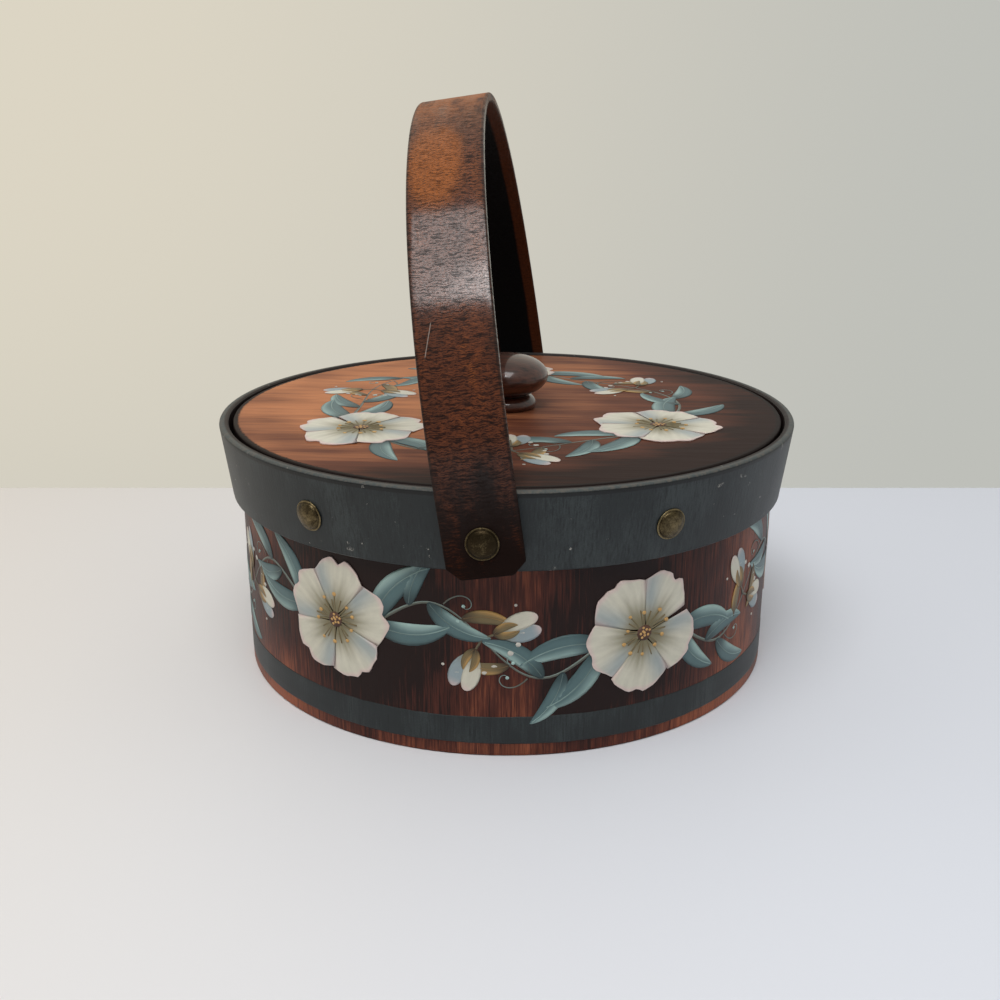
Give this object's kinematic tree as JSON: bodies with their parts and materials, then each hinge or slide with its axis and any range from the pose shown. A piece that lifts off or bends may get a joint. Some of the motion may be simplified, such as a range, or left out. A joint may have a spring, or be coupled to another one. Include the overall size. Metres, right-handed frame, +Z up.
{
  "type": "lidded bucket",
  "caption": "Round bentwood bucket with a flared rim band, a drop-in lid with a turned knob, and a riveted strap handle that swings over the top.",
  "frame": {"origin": "centre of the base, on the surface that the bucket stands on", "axes": "+Z up; the front is -Y, and the line through the two handle rivets is the Y axis; at rest the handle leans towards -X"},
  "size_m": [0.2198, 0.2314, 0.2114],
  "materials": {
    "wall_wood": "satin",
    "bottom_wood": "satin",
    "lid_wood": "satin",
    "handle_wood": "satin",
    "knob_wood": "gloss",
    "band_paint": "satin",
    "rivet_brass": "satin",
    "burr_brass": "satin",
    "washer_leather": "matte",
    "screw_steel": "satin"
  },
  "bodies": {
    "bucket": {"side_wall": "wall_wood", "bottom_board": "bottom_wood", "rim_band": "band_paint", "band_rivet_front_left": "rivet_brass", "band_rivet_front_right": "rivet_brass", "band_rivet_rear_left": "rivet_brass", "band_rivet_rear_right": "rivet_brass", "band_burr_front_left": "burr_brass", "band_burr_front_right": "burr_brass", "band_burr_rear_left": "burr_brass", "band_burr_rear_right": "burr_brass", "handle_rivet_front": "rivet_brass", "handle_rivet_rear": "rivet_brass", "handle_burr_front": "burr_brass", "handle_burr_rear": "burr_brass", "handle_washer_front": "washer_leather", "handle_washer_rear": "washer_leather"},
    "handle": {"handle": "handle_wood"},
    "lid": {"lid_panel": "lid_wood", "knob": "knob_wood", "knob_screw": "screw_steel"}
  },
  "joints": [
    {"name": "handle_swing", "type": "hinge", "parent": "bucket", "child": "handle", "pos_m": [0, 0, 0.0795], "axis": [0, 1, 0], "range_deg": [-112, 128]},
    {"name": "lid_lift", "type": "slide", "parent": "bucket", "child": "lid", "axis": [0, 0, 1], "range_m": [0, 0.025]}
  ]
}
